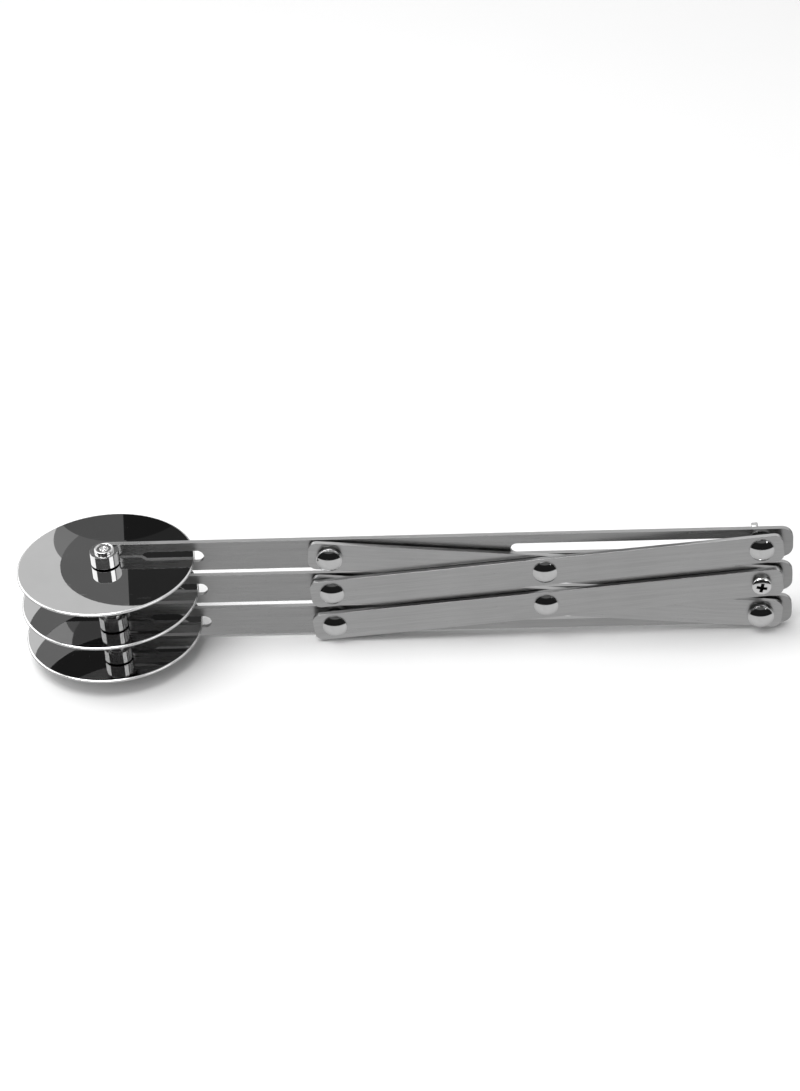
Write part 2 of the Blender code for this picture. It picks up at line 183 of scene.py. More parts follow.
class Nodes:
    """A short way to add nodes to a tree and join them."""

    def __init__(self, tree):
        self.tree = tree

    def add(self, kind, **settings):
        node = self.tree.nodes.new(kind)
        for name, value in settings.items():
            setattr(node, name, value)
        return node

    def join(self, source, target):
        self.tree.links.new(source, target)

    def math(self, operation, a, b=None):
        node = self.add("ShaderNodeMath", operation=operation)
        for socket, value in zip(node.inputs, (a, b)):
            if value is None:
                continue
            if isinstance(value, (int, float)):
                socket.default_value = value
            else:
                self.join(value, socket)
        return node.outputs[0]

    def ramp(self, value, low, high, to_low=0.0, to_high=1.0):
        node = self.add("ShaderNodeMapRange", interpolation_type="SMOOTHSTEP")
        self.join(value, node.inputs["Value"])
        node.inputs["From Min"].default_value = low
        node.inputs["From Max"].default_value = high
        node.inputs["To Min"].default_value = to_low
        node.inputs["To Max"].default_value = to_high
        return node.outputs["Result"]

    def noise(self, coordinates, scale, stretch=(1, 1, 1), detail=3.0, roughness=0.55):
        mapping = self.add("ShaderNodeMapping")
        mapping.inputs["Scale"].default_value = stretch
        self.join(coordinates, mapping.inputs["Vector"])
        node = self.add("ShaderNodeTexNoise")
        node.inputs["Scale"].default_value = scale
        node.inputs["Detail"].default_value = detail
        node.inputs["Roughness"].default_value = roughness
        self.join(mapping.outputs["Vector"], node.inputs["Vector"])
        return node.outputs["Fac"]


def steel(name, base, roughness):
    """A new metallic material: its node helper, its shader and its object coordinates."""
    material = bpy.data.materials.new(name)
    material.use_nodes = True
    nodes = Nodes(material.node_tree)
    shader = material.node_tree.nodes["Principled BSDF"]
    shader.inputs["Base Color"].default_value = (base, base, base, 1)
    shader.inputs["Roughness"].default_value = roughness
    shader.inputs["Metallic"].default_value = 1.0
    place = nodes.add("ShaderNodeTexCoord").outputs["Object"]
    return material, nodes, shader, place


def tint(nodes, shader, value, low, high):
    """Drives the base colour between two greys."""
    mix = nodes.add("ShaderNodeMix", data_type="RGBA")
    nodes.join(value, mix.inputs["Factor"])
    mix.inputs["A"].default_value = (low, low, low, 1)
    mix.inputs["B"].default_value = (high, high, high, 1)
    nodes.join(mix.outputs["Result"], shader.inputs["Base Color"])


def bump(nodes, shader, height, distance, strength=1.0):
    node = nodes.add("ShaderNodeBump")
    node.inputs["Strength"].default_value = strength
    node.inputs["Distance"].default_value = distance
    nodes.join(height, node.inputs["Height"])
    nodes.join(node.outputs["Normal"], shader.inputs["Normal"])


# ---------------------------------------------------------------- materials

def brushed_material(name, dark, light, smooth, rough):
    """Satin bar: fine lines along X, softer bands between them and a few longer scratches."""
    material, nodes, shader, place = steel(name, light, rough)
    fine = nodes.noise(place, 1.0, (90, 5200, 5200), detail=4, roughness=0.65)
    band = nodes.noise(place, 1.0, (22, 900, 900), detail=2)
    patch = nodes.noise(place, 55.0, detail=3)
    scratch = nodes.ramp(nodes.noise(place, 1.0, (160, 2600, 2600), detail=0), 0.69, 0.74)
    streaks = nodes.math("ADD", nodes.math("MULTIPLY", fine, 0.6), nodes.math("MULTIPLY", band, 0.4))
    tint(nodes, shader, nodes.ramp(streaks, 0.32, 0.68), dark, light)
    wear = nodes.math("ADD", nodes.math("MULTIPLY", streaks, 0.6), nodes.math("MULTIPLY", patch, 0.4))
    nodes.join(nodes.ramp(wear, 0.35, 0.65, smooth, rough), shader.inputs["Roughness"])
    height = nodes.math("SUBTRACT", fine, nodes.math("MULTIPLY", scratch, 0.8))
    bump(nodes, shader, height, 0.008 * MM, 0.5)
    return material


def mirror_material():
    """Wheel steel: a mirror polish with faint turning marks round the axle and hairline scratches."""
    material, nodes, shader, place = steel("mirror_polished_steel", 0.62, 0.04)
    split = nodes.add("ShaderNodeSeparateXYZ")
    nodes.join(place, split.inputs[0])
    x, y = split.outputs["X"], split.outputs["Y"]
    squares = nodes.math("ADD", nodes.math("MULTIPLY", x, x), nodes.math("MULTIPLY", y, y))
    radius = nodes.math("SQRT", squares)
    rings = nodes.add("ShaderNodeTexNoise", noise_dimensions="1D")
    rings.inputs["Scale"].default_value = 3500.0
    rings.inputs["Detail"].default_value = 3.0
    nodes.join(radius, rings.inputs["W"])
    patch = nodes.noise(place, 70.0, detail=4)
    hair = nodes.ramp(nodes.noise(place, 1.0, (120, 2400, 1), detail=0), 0.74, 0.78)
    tint(nodes, shader, patch, 0.58, 0.66)
    half_rings = nodes.math("MULTIPLY", rings.outputs["Fac"], 0.5)
    worn = nodes.math("ADD", half_rings, nodes.math("MULTIPLY", patch, 0.5))
    polish = nodes.ramp(worn, 0.35, 0.65, 0.003, 0.014)
    rough = nodes.math("ADD", polish, nodes.math("MULTIPLY", hair, 0.04))
    nodes.join(rough, shader.inputs["Roughness"])
    bump(nodes, shader, rings.outputs["Fac"], 0.0001 * MM, 0.3)
    return material


def ground_edge_material():
    """The wheel's ground rim: fine lines round the rim, brighter than the faces."""
    material, nodes, shader, place = steel("ground_rim_steel", 0.86, 0.22)
    lines = nodes.noise(place, 1.0, (60, 60, 6000), detail=3)
    tint(nodes, shader, nodes.ramp(lines, 0.3, 0.7), 0.8, 0.92)
    nodes.join(nodes.ramp(lines, 0.3, 0.7, 0.16, 0.28), shader.inputs["Roughness"])
    bump(nodes, shader, lines, 0.004 * MM, 0.4)
    return material


def polished_material(name, base, roughness):
    """Rivets, pins and knuckles: polished, with small soft unevenness and light wear marks."""
    material, nodes, shader, place = steel(name, base, roughness)
    patch = nodes.noise(place, 420.0, detail=4)
    marks = nodes.ramp(nodes.noise(place, 1.0, (2200, 700, 900), detail=1), 0.66, 0.74)
    tint(nodes, shader, patch, base * 0.9, base * 1.08)
    rough = nodes.math("ADD", nodes.ramp(patch, 0.3, 0.7, roughness * 0.7, roughness * 1.3),
                       nodes.math("MULTIPLY", marks, 0.1))
    nodes.join(rough, shader.inputs["Roughness"])
    height = nodes.math("SUBTRACT", nodes.math("MULTIPLY", patch, 0.5), nodes.math("MULTIPLY", marks, 0.3))
    bump(nodes, shader, height, 0.012 * MM, 0.35)
    return material


def floor_material():
    """Plain pale paper with the faintest mottling."""
    material = bpy.data.materials.new("pale_floor")
    material.use_nodes = True
    nodes = Nodes(material.node_tree)
    shader = material.node_tree.nodes["Principled BSDF"]
    place = nodes.add("ShaderNodeTexCoord").outputs["Object"]
    tint(nodes, shader, nodes.noise(place, 9.0, detail=2), 0.9, 0.92)
    shader.inputs["Roughness"].default_value = 0.9
    shader.inputs["Specular IOR Level"].default_value = 0.1
    return material


SATIN = brushed_material("brushed_arm_steel", 0.38, 0.47, 0.24, 0.36)
LINK_SATIN = brushed_material("brushed_link_steel", 0.49, 0.6, 0.26, 0.38)
MIRROR = mirror_material()
RIM = ground_edge_material()
POLISHED = polished_material("polished_steel", 0.77, 0.07)
KNUCKLE = polished_material("polished_knuckle_steel", 0.72, 0.08)
PLATED = polished_material("plated_steel", 0.9, 0.12)
CAST = polished_material("cast_nut_steel", 0.62, 0.2)
# Painted shade: a near-black material for the walls of the screw's cross recess, standing in for the
# shadow inside it.
RECESS_PAINTED_SHADE = polished_material("driver_recess_painted_shade", 0.06, 0.5)


# ---------------------------------------------------------------- shapes

def arc(centre, radius, start, end, steps):
    """Points (x, z) along an arc, both ends included."""
    cx, cz = centre
    angles = [start + (end - start) * i / steps for i in range(steps + 1)]
    return [(cx + radius * cos(a), cz + radius * sin(a)) for a in angles]


def circle(centre, radius, steps=48):
    return arc(centre, radius, 0, 2 * pi, steps)[:-1]


def moved_verts(geometry):
    return [item for item in geometry if isinstance(item, bmesh.types.BMVert)]


def plate(outline, holes, front, back):
    """A flat plate in the XZ plane from front to back, with holes."""
    bm = bmesh.new()
    for loop in [outline, *holes]:
        verts = [bm.verts.new((x, back, z)) for x, z in loop]
        for i, vert in enumerate(verts):
            bm.edges.new((verts[i - 1], vert))
    bmesh.ops.triangle_fill(bm, edges=bm.edges[:], use_beauty=True)
    swept = bmesh.ops.extrude_face_region(bm, geom=bm.faces[:], use_keep_orig=True)
    bmesh.ops.translate(bm, verts=moved_verts(swept["geom"]), vec=(0, front - back, 0))
    bmesh.ops.recalc_face_normals(bm, faces=bm.faces)
    return bm


def turned(profile, axis, steps=64, closed=False):
    """A solid of revolution. The profile lists (radius, distance along the axis)."""
    bm = bmesh.new()
    along = Vector(axis)
    verts = [bm.verts.new(Vector((radius, 0, 0)) + along * height) for radius, height in profile]
    first = 0 if closed else 1
    edges = [bm.edges.new((verts[i - 1], verts[i])) for i in range(first, len(verts))]
    bmesh.ops.spin(bm, geom=verts + edges, axis=along, cent=(0, 0, 0), angle=2 * pi, steps=steps)
    bmesh.ops.remove_doubles(bm, verts=bm.verts, dist=GAP / 100)
    return bm


def piece(name, bm, materials, location, turn=0.0, round_edges=0.0, smooth_to=38):
    """A named object from a bmesh, shaded smooth across edges of less than smooth_to degrees."""
    bmesh.ops.recalc_face_normals(bm, faces=bm.faces)
    mesh = bpy.data.meshes.new(name)
    bm.to_mesh(mesh)
    bm.free()
    for material in materials:
        mesh.materials.append(material)
    mesh.shade_smooth()
    mesh.set_sharp_from_angle(angle=radians(smooth_to))
    thing = bpy.data.objects.new(name, mesh)
    bpy.context.scene.collection.objects.link(thing)
    thing.location = location
    thing.rotation_euler = (0, turn, 0)
    if round_edges:
        bevel = thing.modifiers.new("rounded_edges", "BEVEL")
        bevel.width = round_edges
        bevel.segments = 3
        bevel.limit_method = "ANGLE"
        bevel.angle_limit = radians(smooth_to)
        bevel.harden_normals = True
    return thing


def show(thing, node):
    """The finer piece stands for the CAD node and rides on its body."""
    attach(thing, BODY_OF[node])
    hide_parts(node)
    return thing


# ---------------------------------------------------------------- arms and links

def arm_outline():
    """The arm from its axle: a fork with stepped legs at the left and round corners at the right."""
    slot_centre = FORK_END - FORK_SLOT_HALF
    near, far = FORK_STEP
    upper_leg = [(0, HUB_SLOT_HALF), (near, HUB_SLOT_HALF), (far, FORK_SLOT_HALF)]
    lower_leg = [(x, -z) for x, z in reversed(upper_leg)]
    corner_x = ARM_END - ARM_CORNER
    corner_z = ARM_HALF_WIDTH - ARM_CORNER
    points = upper_leg
    points += arc((slot_centre, 0), FORK_SLOT_HALF, pi / 2, -pi / 2, 24)
    points += lower_leg
    points += [(0, -ARM_HALF_WIDTH)]
    points += arc((corner_x, -corner_z), ARM_CORNER, -pi / 2, 0, 14)
    points += arc((corner_x, corner_z), ARM_CORNER, 0, pi / 2, 14)
    points += [(0, ARM_HALF_WIDTH)]
    return points


def slot_outline():
    left, right = SLOT_SPAN
    points = arc((right - SLOT_HALF, 0), SLOT_HALF, -pi / 2, pi / 2, 20)
    return points + arc((left + SLOT_HALF, 0), SLOT_HALF, pi / 2, 3 * pi / 2, 20)


def curl_knuckles(bm):
    """Sweeps the end of each leg round the axle, forwards and back to the face of the arm."""
    leg_ends = [f for f in bm.faces if all(abs(v.co.x) < GAP / 10 for v in f.verts)]
    for face in leg_ends:
        geometry = [face, *face.edges, *face.verts]
        bmesh.ops.spin(bm, geom=geometry, axis=(0, 0, 1), cent=(0, 0, 0), angle=KNUCKLE_TURN, steps=44)
    for face in bm.faces:
        middle = face.calc_center_median()
        on_curl = middle.x < 0 or (middle.x < ARM_BACK and middle.y < ARM_FRONT - GAP)
        face.material_index = 1 if on_curl else 0


def add_arm(level):
    bm = plate(arm_outline(), [circle((PIVOT_X, 0), HOLE_RADIUS), slot_outline()], ARM_FRONT, ARM_BACK)
    bmesh.ops.dissolve_limit(bm, angle_limit=0.01, verts=bm.verts, edges=bm.edges)
    curl_knuckles(bm)
    arm = piece(f"{level}_arm_bar", bm, [SATIN, KNUCKLE], AXLE[level], round_edges=EDGE_ROUND)
    show(arm, "arm_" + level)


def link_outline():
    end = LINK_SPAN / 2 + LINK_MARGIN
    near = end - LINK_CORNER
    high = LINK_HALF_WIDTH - LINK_CORNER
    points = arc((near, -high), LINK_CORNER, -pi / 2, 0, 12)
    points += arc((near, high), LINK_CORNER, 0, pi / 2, 12)
    points += arc((-near, high), LINK_CORNER, pi / 2, pi, 12)
    points += arc((-near, -high), LINK_CORNER, pi, 3 * pi / 2, 12)
    return points


def add_link(side, level):
    """A link about its crossing. The back links' middle holes are countersunk for flush rivets."""
    front, back = FRONT_LAYER if side == "front" else BACK_LAYER
    middle = HOLE_RADIUS if side == "front" else FLUSH_TAIL_RADIUS + GAP
    holes = [circle((0, 0), middle)]
    holes += [circle((end * LINK_SPAN / 2, 0), HOLE_RADIUS) for end in (-1, 1)]
    bm = plate(link_outline(), holes, front, back)
    for vert in bm.verts:
        at_middle = hypot(vert.co.x, vert.co.z) < middle + GAP / 10
        if at_middle and abs(vert.co.y - front) < GAP / 10:
            vert.co.x *= HOLE_RADIUS / middle
            vert.co.z *= HOLE_RADIUS / middle
    bmesh.ops.dissolve_limit(bm, angle_limit=0.01, verts=bm.verts, edges=bm.edges)
    turn = -LINK_ANGLE if side == "front" else LINK_ANGLE
    link = piece(f"{level}_{side}_link_bar", bm, [LINK_SATIN], CROSSING[level], turn, EDGE_ROUND)
    show(link, f"link_{side}_{level}")


# ---------------------------------------------------------------- wheels and axle pins

def add_wheel(level):
    """A plain disc with a ground bevel at the rim and a broken edge at the bore."""
    edge, half, bore = WHEEL_RADIUS, WHEEL_HALF, WHEEL_BORE
    upper = [
        (bore, half - 0.12 * MM),
        (bore + 0.12 * MM, half),
        (edge * 0.5, half),
        (edge - 0.45 * MM, half),
        (edge - 0.3 * MM, half - 0.03 * MM),
        (edge - 0.06 * MM, half - 0.2 * MM),
        (edge, half - 0.28 * MM),
    ]
    profile = upper + [(radius, -height) for radius, height in reversed(upper)]
    bm = turned(profile, (0, 0, 1), 288, closed=True)
    for face in bm.faces:
        middle = face.calc_center_median()
        face.material_index = 1 if hypot(middle.x, middle.y) > edge - RIM_WIDTH else 0
    wheel = piece(f"{level}_cutting_wheel", bm, [MIRROR, RIM], AXLE[level], smooth_to=5)
    show(wheel, "wheel_" + level)


def add_axle_pin(level):
    """A pin with a rolled head at both ends: a hole, a raised ring, a sunk ring and a round rim."""
    seat = ARM_HALF_WIDTH + GAP / 2
    top, edge = PIN_TOP, PIN_HEAD_RADIUS
    floor_of_ring = top - 0.28 * MM
    upper = [(0, top - 0.66 * MM), (0.42 * MM, top - 0.6 * MM), (0.55 * MM, top - 0.18 * MM)]
    upper += arc((0.82 * MM, top - 0.24 * MM), 0.24 * MM, 0.9 * pi, 0.5 * pi, 5)
    upper += arc((1.05 * MM, top - 0.24 * MM), 0.24 * MM, 0.5 * pi, 0.08 * pi, 5)
    upper += [(1.38 * MM, floor_of_ring), (edge - 0.72 * MM, floor_of_ring)]
    upper += arc((edge - 0.32 * MM, top - 0.32 * MM), 0.32 * MM, 0.85 * pi, 0, 9)
    upper += [(edge, seat + 0.12 * MM), (edge - 0.12 * MM, seat), (PIN_RADIUS, seat)]
    lower = [(radius, -height) for radius, height in reversed(upper)]
    pin = piece(f"{level}_rolled_axle_pin", turned(upper + lower, (0, 0, 1)), [POLISHED], AXLE[level])
    show(pin, "axle_pin_" + level)


# ---------------------------------------------------------------- rivets, spacers and washers

def cap(radius, height, seat, outward, steps=14):
    """Profile of a domed head from its crown to its seat, with a small rounded rim."""
    rim = 0.3 * MM
    rise = height - rim
    sphere = (radius * radius + rise * rise) / (2 * rise)
    spread = asin(radius / sphere)
    points = []
    for i in range(steps + 1):
        turn = spread * i / steps
        drop = sphere * (1 - cos(turn))
        points.append((sphere * sin(turn), seat + outward * (height - drop)))
    points += [(radius, seat + outward * 0.12 * MM), (radius - 0.1 * MM, seat)]
    return points


def add_rivet(name, node, place, tail_seat):
    head = cap(HEAD_RADIUS, HEAD_HEIGHT, HEAD_SEAT, -1)
    tail = cap(TAIL_RADIUS, TAIL_HEIGHT, tail_seat, 1)
    shank = [(SHANK_RADIUS, HEAD_SEAT), (SHANK_RADIUS, tail_seat)]
    bm = turned(head + shank + tail[::-1], (0, 1, 0))
    show(piece(name, bm, [POLISHED], place), node)


def add_flush_rivet(level):
    end = BACK_LAYER[1] - GAP / 2
    head = cap(HEAD_RADIUS, HEAD_HEIGHT, HEAD_SEAT, -1)
    cone = [(SHANK_RADIUS, HEAD_SEAT), (SHANK_RADIUS, BACK_LAYER[0])]
    cone += [(FLUSH_TAIL_RADIUS, end), (FLUSH_TAIL_RADIUS - 0.4 * MM, end), (0, end)]
    rivet = piece(f"{level}_crossing_rivet", turned(head + cone, (0, 1, 0)), [POLISHED], CROSSING[level])
    show(rivet, "cross_rivet_" + level)


def add_ring(name, node, place, material):
    """A spacer or washer as large as its CAD node, with broken edges."""
    low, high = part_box(node)
    outer, front, back = (high.x - low.x) / 2, low.y, high.y
    profile = [(HOLE_RADIUS, front), (outer, front), (outer, back), (HOLE_RADIUS, back)]
    bm = turned(profile, (0, 1, 0), closed=True)
    show(piece(name, bm, [material], place, round_edges=0.12 * MM), node)


# ---------------------------------------------------------------- lock screw and wing nut

def finished_mesh(thing):
    """Bakes an object's modifiers into its mesh."""
    graph = bpy.context.evaluated_depsgraph_get()
    mesh = bpy.data.meshes.new_from_object(thing.evaluated_get(graph))
    thing.modifiers.clear()
    thing.data = mesh


def combine(target, tool, operation):
    """Joins or cuts with an exact Boolean, and removes the tool."""
    modifier = target.modifiers.new(operation.lower(), "BOOLEAN")
    modifier.operation = operation
    modifier.solver = "EXACT"
    modifier.material_mode = "TRANSFER"
    modifier.object = tool
    bpy.context.view_layer.update()
    finished_mesh(target)
    bpy.data.objects.remove(tool, do_unlink=True)


def recess_tool(place):
    """A tapered cross that cuts the driver recess. Its near-black material goes onto the recess walls as
    painted shade.
    """
    reach, half, depth, taper = 1.85 * MM, 0.58 * MM, 1.6 * MM, 0.7
    outline = []
    for quarter in range(4):
        c, s = cos(quarter * pi / 2), sin(quarter * pi / 2)
        for x, z in ((half, half), (half, reach), (-half, reach)):
            outline.append((x * c - z * s, x * s + z * c))
    bm = plate(outline, [], SCREW_FRONT - 1.0 * MM, SCREW_FRONT + depth)
    for vert in bm.verts:
        if vert.co.y > SCREW_FRONT:
            vert.co.x *= taper
            vert.co.z *= taper
    return piece("recess_tool", bm, [RECESS_PAINTED_SHADE], place, RECESS_TURN)


def add_lock_screw(place):
    """A pan head with a cross recess, and a thread that shows behind the wing nut."""
    front, edge = SCREW_FRONT, SCREW_HEAD_RADIUS
    profile = [(0, front), (1.0 * MM, front + 0.03 * MM), (1.9 * MM, front + 0.16 * MM)]
    profile += arc((edge - 1.0 * MM, front + 1.25 * MM), 1.0 * MM, -0.36 * pi, 0, 8)
    profile += [(edge, HEAD_SEAT - 0.12 * MM), (edge - 0.12 * MM, HEAD_SEAT), (SHANK_RADIUS, HEAD_SEAT)]
    thread_start, thread_end = 8.0 * MM, SCREW_TIP - 0.45 * MM
    rows = 36
    span = thread_end - thread_start
    profile += [(SHANK_RADIUS, thread_start + span * i / rows) for i in range(rows + 1)]
    profile += [(SHANK_RADIUS - 0.42 * MM, SCREW_TIP - 0.04 * MM), (SHANK_RADIUS - 0.5 * MM, SCREW_TIP)]
    profile += [(0, SCREW_TIP)]
    bm = turned(profile, (0, 1, 0), 48)
    cut_thread(bm, thread_start, thread_end)
    screw = piece("cross_recess_lock_screw", bm, [PLATED], place)
    # The recess walls take the tool's near-black material, which paints the shade inside the recess.
    combine(screw, recess_tool(place), "DIFFERENCE")
    screw.data.shade_smooth()
    screw.data.set_sharp_from_angle(angle=radians(38))
    show(screw, "lock_screw")


def cut_thread(bm, start, end):
    """Draws the shank in along a helix."""
    for vert in bm.verts:
        radius = hypot(vert.co.x, vert.co.z)
        if start + GAP < vert.co.y < end + GAP / 10 and radius > SHANK_RADIUS - GAP / 10:
            turn = atan2(vert.co.z, vert.co.x) / (2 * pi)
            phase = vert.co.y / THREAD_PITCH + turn
            groove = abs(2 * (phase - floor(phase)) - 1)
            shrink = 1 - THREAD_DEPTH * groove / radius
            vert.co.x *= shrink
            vert.co.z *= shrink


def ear(side, place):
    """One ear of the wing nut: a tongue that leaves the hub and flares back, thinner at its tip."""
    tip = 2.1 * MM
    crown = EAR_HEIGHT - tip
    outline = [(1.5 * MM, 0.7 * MM), (4.2 * MM, 1.3 * MM), (6.2 * MM, 2.3 * MM)]
    outline += arc((EAR_REACH - tip, crown), tip, -0.32 * pi, 0.86 * pi, 16)
    outline += [(5.3 * MM, 6.2 * MM), (4.4 * MM, NUT_HEIGHT), (1.5 * MM, NUT_HEIGHT - 0.6 * MM)]
    bm = bmesh.new()
    root = 1.3 * MM
    verts = [bm.verts.new((-root, NUT_FRONT + y, side * z)) for z, y in outline]
    swept = bmesh.ops.extrude_face_region(bm, geom=[bm.faces.new(verts)], use_keep_orig=True)
    bmesh.ops.translate(bm, verts=moved_verts(swept["geom"]), vec=(2 * root, 0, 0))
    thinning = 0.28
    for vert in bm.verts:
        vert.co.x *= 1 - thinning * abs(vert.co.z) / EAR_REACH
    return piece("ear_tool", bm, [CAST], place, -EAR_LEAN)


def add_wing_nut(place):
    """A cast wing nut: hub and ears are joined, softened as one casting, and bored."""
    front, back = NUT_FRONT, NUT_FRONT + NUT_HEIGHT
    profile = [(0, front), (3.7 * MM, front), (4.0 * MM, front + 0.3 * MM), (3.9 * MM, front + 1.2 * MM)]
    profile += [(3.35 * MM, back - 0.3 * MM), (3.1 * MM, back), (0, back)]
    nut = piece("cast_wing_nut", turned(profile, (0, 1, 0), 48), [CAST], place, -EAR_LEAN)
    for side in (-1, 1):
        combine(nut, ear(side, place), "UNION")
    remesh = nut.modifiers.new("casting", "REMESH")
    remesh.mode = "VOXEL"
    remesh.voxel_size = 0.2 * MM
    soften = nut.modifiers.new("soften", "SMOOTH")
    soften.factor = 0.5
    soften.iterations = 7
    finished_mesh(nut)
    over = 1 * MM
    bore = [(0, front - over), (HOLE_RADIUS, front - over), (HOLE_RADIUS, back + over), (0, back + over)]
    bore_tool = piece("bore_tool", turned(bore, (0, 1, 0), 48), [CAST], place)
    combine(nut, bore_tool, "DIFFERENCE")
    nut.data.shade_smooth()
    nut.data.set_sharp_from_angle(angle=radians(50))
    show(nut, "wing_nut")


# ---------------------------------------------------------------- the whole object

def on_arm(level, x):
    return AXLE[level] + Vector((x, 0, 0))


def build_object():
    for level in LEVELS:
        add_arm(level)
        add_wheel(level)
        add_axle_pin(level)
        add_rivet(f"{level}_pivot_rivet", "pivot_rivet_" + level, on_arm(level, PIVOT_X), ARM_BACK + GAP)
    for level in ("lower", "upper"):
        add_link("front", level)
        add_link("back", level)
        add_flush_rivet(level)
        slide = on_arm(level, SLIDE_X)
        washer_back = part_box("slide_washer_" + level)[1].y
        add_rivet(f"{level}_slide_rivet", "slide_rivet_" + level, slide, washer_back + GAP)
        add_ring(f"{level}_slide_collar", "slide_spacer_" + level, slide, POLISHED)
        add_ring(f"{level}_slide_disc", "slide_washer_" + level, slide, POLISHED)
        add_ring(f"{level}_pivot_collar", "pivot_spacer_" + level, on_arm(level, PIVOT_X), POLISHED)
    lock = on_arm("middle", SLIDE_X)
    add_lock_screw(lock)
    add_ring("lock_screw_washer", "lock_washer", lock, PLATED)
    add_wing_nut(lock)


# ---------------------------------------------------------------- studio

def staged(thing):
    return thing


def flat_sheet(name, corners, material):
    bm = bmesh.new()
    bm.faces.new([bm.verts.new(corner) for corner in corners])
    mesh = bpy.data.meshes.new(name)
    bm.to_mesh(mesh)
    bm.free()
    mesh.materials.append(material)
    thing = bpy.data.objects.new(name, mesh)
    bpy.context.scene.collection.objects.link(thing)
    return staged(thing)


def add_floor():
    """A wide pale sheet, which the steel doesn't see: there the world's ground stands for it."""
    size = 6.0
    corners = [(-size, -size, 0), (size, -size, 0), (size, size, 0), (-size, size, 0)]
    sheet = flat_sheet("pale_floor", corners, floor_material())
    sheet.visible_glossy = False


def glow(name, strength):
    """A plain emitter, which the steel sees and nothing else does."""
    material = bpy.data.materials.new(name)
    material.use_nodes = True
    nodes = Nodes(material.node_tree)
    material.node_tree.nodes.clear()
    emission = nodes.add("ShaderNodeEmission")
    emission.inputs["Color"].default_value = (1, 1, 1, 1)
    emission.inputs["Strength"].default_value = strength
    nodes.join(emission.outputs[0], nodes.add("ShaderNodeOutputMaterial").inputs["Surface"])
    return material


def seen_in_steel_only(thing):
    for ray in ("camera", "diffuse", "shadow", "transmission", "volume_scatter"):
        setattr(thing, "visible_" + ray, False)


def add_camera():
    a, e = CAMERA_AZIMUTH, CAMERA_ELEVATION
    forward = Vector((-sin(a) * cos(e), cos(a) * cos(e), -sin(e)))
    level_right = Vector((cos(a), sin(a), 0))
    level_up = level_right.cross(forward)
    right = level_right * cos(CAMERA_ROLL) + level_up * sin(CAMERA_ROLL)
    up = level_up * cos(CAMERA_ROLL) - level_right * sin(CAMERA_ROLL)
    data = bpy.data.cameras.new("camera")
    data.sensor_width = SENSOR_MM
    data.lens = LENS_MM
    data.clip_start = 0.01
    data.clip_end = 50
    camera = bpy.data.objects.new("camera", data)
    bpy.context.scene.collection.objects.link(camera)
    turn = Matrix((right, up, -forward)).transposed().to_4x4()
    camera.matrix_world = Matrix.Translation(CAMERA_TARGET - forward * CAMERA_DISTANCE) @ turn
    bpy.context.scene.camera = camera
    return camera


def area_light(name, location, size, power):
    data = bpy.data.lights.new(name, "AREA")
    data.shape = "RECTANGLE"
    data.size, data.size_y = size
    data.energy = power
    light = bpy.data.objects.new(name, data)
    bpy.context.scene.collection.objects.link(light)
    light.location = location
    light.rotation_euler = (-Vector(location)).to_track_quat("-Z", "Y").to_euler()
    return light


def add_world():
    """A studio room. The steel sees a pale ceiling and ground, and a dark room beside the camera.

    Azimuth counts from the front, where the links face, towards the handle end.
    """
    world = bpy.data.worlds.new("studio")
    world.use_nodes = True
    bpy.context.scene.world = world
    nodes = Nodes(world.node_tree)
    world.node_tree.nodes.clear()
    split = nodes.add("ShaderNodeSeparateXYZ")
    nodes.join(nodes.add("ShaderNodeTexCoord").outputs["Generated"], split.inputs[0])
    x, y, z = split.outputs
    azimuth = nodes.math("ARCTAN2", x, nodes.math("MULTIPLY", y, -1.0))
    elevation = nodes.math("ARCSINE", z)
    sky = nodes.ramp(y, -0.6, 0.6, SKY_SIDE, SKY_BACK)
    ground = nodes.ramp(y, -0.5, 0.6, GROUND_FRONT, GROUND_BACK)
    above = nodes.ramp(z, -0.03, 0.03)
    room = nodes.math("ADD", nodes.math("MULTIPLY", sky, above),
                      nodes.math("MULTIPLY", ground, nodes.math("SUBTRACT", 1.0, above)))
    left, right = DARK_AZIMUTH
    low, high, end = DARK_ELEVATION
    soft = DARK_SOFTNESS
    front = nodes.math("MULTIPLY", nodes.ramp(azimuth, left - soft, left + soft),
                       nodes.ramp(azimuth, right - soft, right + soft, 1.0, 0.0))
    lower = nodes.ramp(elevation, low - soft / 3, low + soft / 3)
    upper = nodes.ramp(elevation, high - soft / 3, high + soft / 3)
    top = nodes.ramp(elevation, end - soft, end + soft)
    shade = nodes.math("SUBTRACT", lower, nodes.math("MULTIPLY", upper, HAZE))
    shade = nodes.math("MAXIMUM", nodes.math("SUBTRACT", shade, top), 0.0)
    dark = nodes.math("MULTIPLY", nodes.math("MULTIPLY", shade, front), DARK_DEPTH)
    light = nodes.math("SUBTRACT", 1.0, dark)
    background = nodes.add("ShaderNodeBackground")
    nodes.join(nodes.math("MULTIPLY", room, light), background.inputs["Strength"])
    nodes.join(background.outputs[0], nodes.add("ShaderNodeOutputWorld").inputs["Surface"])


def add_side_cards():
    """Tall softboxes to the left and the right and a strip between them, which streak round steel."""
    for name, azimuth, half_width, low, high, strength in SIDE_CARDS:
        facing = Vector((sin(azimuth), -cos(azimuth), 0))
        across = Vector((cos(azimuth), sin(azimuth), 0)) * half_width
        foot = facing * SIDE_CARD_DISTANCE + Vector((0, 0, low))
        head = facing * SIDE_CARD_DISTANCE + Vector((0, 0, high))
        corners = [foot - across, foot + across, head + across, head - across]
        seen_in_steel_only(flat_sheet(name, corners, glow(name + "_glow", strength)))


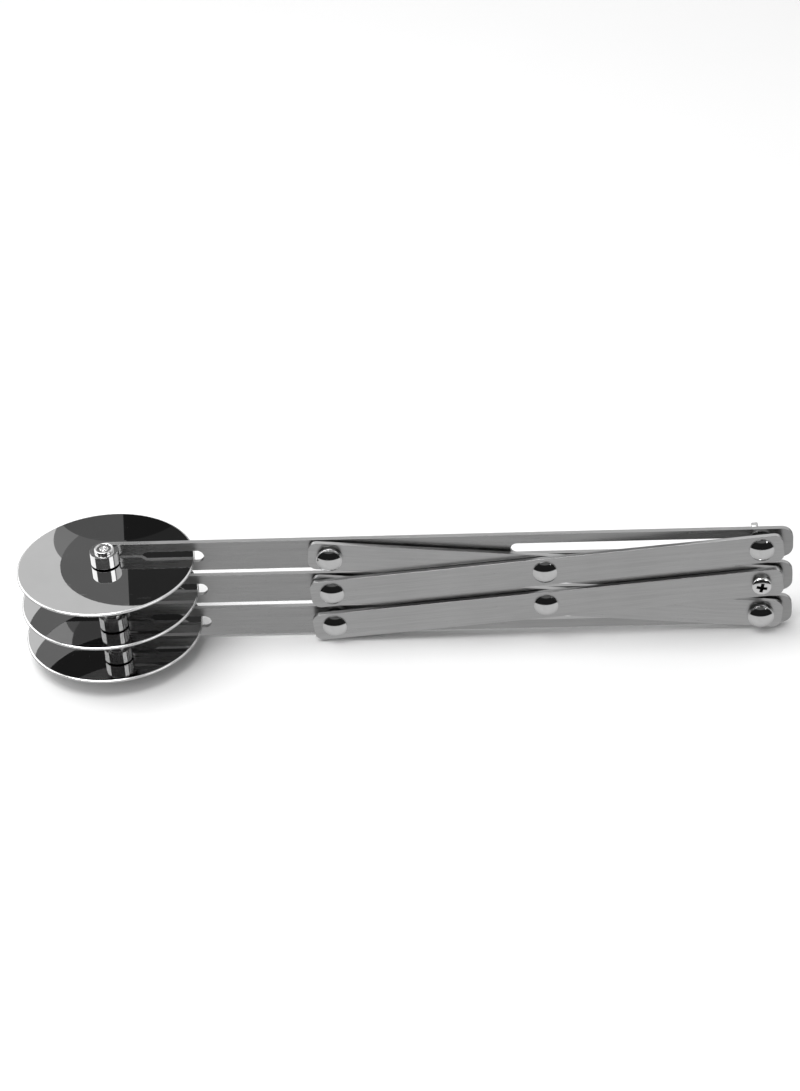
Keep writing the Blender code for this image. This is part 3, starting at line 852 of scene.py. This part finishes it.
def add_dark_backing():
    """Dim cards close behind the wheels, one for each gap, that the lower two wheels reflect."""
    x, y = AXLE["lower"].x, BACKING_DISTANCE
    left, right = x - BACKING_HALF_WIDTH, x + BACKING_HALF_WIDTH
    middle, top = AXLE["middle"].z, AXLE["upper"].z + WHEEL_HALF
    rows = (("backing_low", 0, middle, LOW_BACKING_GLOW), ("backing_high", middle, top, HIGH_BACKING_GLOW))
    for name, low, high, strength in rows:
        corners = [(left, y, low), (right, y, low), (right, y, high), (left, y, high)]
        seen_in_steel_only(flat_sheet(name, corners, glow(name + "_glow", strength)))


def wheel_card(name, camera, centre, radius, height, pieces):
    """A round card above and behind the wheels, flat like them, that the upper wheel reflects.

    centre and radius say where its reflection lies on the wheel, from the axle. Each of the pieces
    is a left edge, a right edge and a glow strength. An edge of None is the circle itself.
    """
    wheel_top = AXLE["upper"].z + WHEEL_HALF
    eye = camera.matrix_world.translation
    reach = 1 + height / (eye.z - wheel_top)
    x = eye.x + (AXLE["upper"].x + centre[0] - eye.x) * reach
    y = eye.y + (centre[1] - eye.y) * reach
    size = radius * reach
    for part, (left, right, strength) in enumerate(pieces):
        bm = bmesh.new()
        rim = [Vector((size * cos(a), size * sin(a), 0)) for a in (2 * pi * i / 96 for i in range(96))]
        bm.faces.new([bm.verts.new(point) for point in rim])
        for edge, keep_right in ((left, True), (right, False)):
            if edge is None:
                continue
            normal = Vector((1, CARD_EDGE_LEAN, 0)) * (-1 if keep_right else 1)
            geometry = bm.verts[:] + bm.edges[:] + bm.faces[:]
            bmesh.ops.bisect_plane(bm, geom=geometry, plane_co=(edge * reach, 0, 0), plane_no=normal,
                                   clear_outer=True)
        mesh = bpy.data.meshes.new(f"{name}_{part}")
        bm.to_mesh(mesh)
        bm.free()
        mesh.materials.append(glow(f"{name}_{part}_glow", strength))
        card = bpy.data.objects.new(f"{name}_{part}", mesh)
        bpy.context.scene.collection.objects.link(card)
        card.location = (x, y, wheel_top + height)
        seen_in_steel_only(staged(card))


def add_wheel_cards(camera):
    for name, centre, radius, height, pieces in WHEEL_CARDS:
        wheel_card(name, camera, centre, radius, height, pieces)


def add_lights():
    """A softbox overhead, and a fill that lights the floor but isn't seen in the steel."""
    area_light(*OVERHEAD)
    fill = area_light(*FILL)
    fill.visible_glossy = False


def set_picture():
    scene = bpy.context.scene
    scene.view_settings.view_transform = "Standard"
    scene.view_settings.look = "None"


build_object()
add_floor()
camera = add_camera()
add_world()
add_side_cards()
add_dark_backing()
add_wheel_cards(camera)
add_lights()
set_picture()

bpy.context.view_layer.update()
